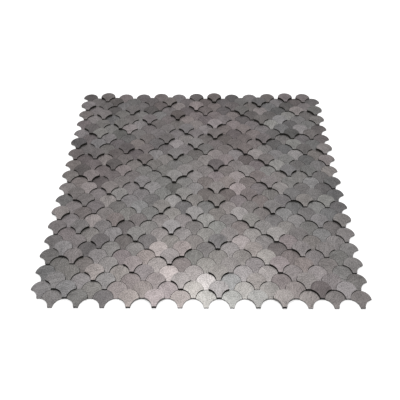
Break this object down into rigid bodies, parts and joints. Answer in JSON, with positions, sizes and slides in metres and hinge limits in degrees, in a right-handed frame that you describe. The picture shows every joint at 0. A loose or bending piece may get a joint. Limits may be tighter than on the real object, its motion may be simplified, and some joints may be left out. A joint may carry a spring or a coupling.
{
  "type": "self-adhesive mosaic tile",
  "caption": "Flat mosaic sheet of small fan-shaped brushed-metal pieces in stepped thicknesses, laid as fish scales on an adhesive backing with a peel-off liner.",
  "frame": {"origin": "middle of the sheet, on the underside of the liner that it lies on", "axes": "+Z out of the tile's face; +Y up the sheet, the way the fans' round tops point; +X to the right across the sheet"},
  "size_m": [0.2926, 0.3056, 0.0036],
  "materials": {
    "brushed_metal": "brushed, anodised dark grey",
    "backing": "matt adhesive-coated carrier",
    "liner": "smooth coated paper"
  },
  "bodies": {
    "root": {"fan_row_01": "brushed_metal", "fan_row_02": "brushed_metal", "fan_row_03": "brushed_metal", "fan_row_04": "brushed_metal", "fan_row_05": "brushed_metal", "fan_row_06": "brushed_metal", "fan_row_07": "brushed_metal", "fan_row_08": "brushed_metal", "fan_row_09": "brushed_metal", "fan_row_10": "brushed_metal", "fan_row_11": "brushed_metal", "fan_row_12": "brushed_metal", "fan_row_13": "brushed_metal", "fan_row_14": "brushed_metal", "fan_row_15": "brushed_metal", "fan_row_16": "brushed_metal", "fan_row_17": "brushed_metal", "fan_row_18": "brushed_metal", "fan_row_19": "brushed_metal", "fan_row_20": "brushed_metal", "fan_row_21": "brushed_metal", "fan_row_22": "brushed_metal", "fan_row_23": "brushed_metal", "fan_row_24": "brushed_metal", "fan_row_25": "brushed_metal", "fan_row_26": "brushed_metal", "fan_row_27": "brushed_metal", "fan_row_28": "brushed_metal", "fan_row_29": "brushed_metal", "fan_row_30": "brushed_metal", "fan_row_31": "brushed_metal", "fan_row_32": "brushed_metal", "fan_row_33": "brushed_metal", "fan_row_34": "brushed_metal", "adhesive_backing": "backing", "release_liner": "liner"}
  },
  "joints": []
}
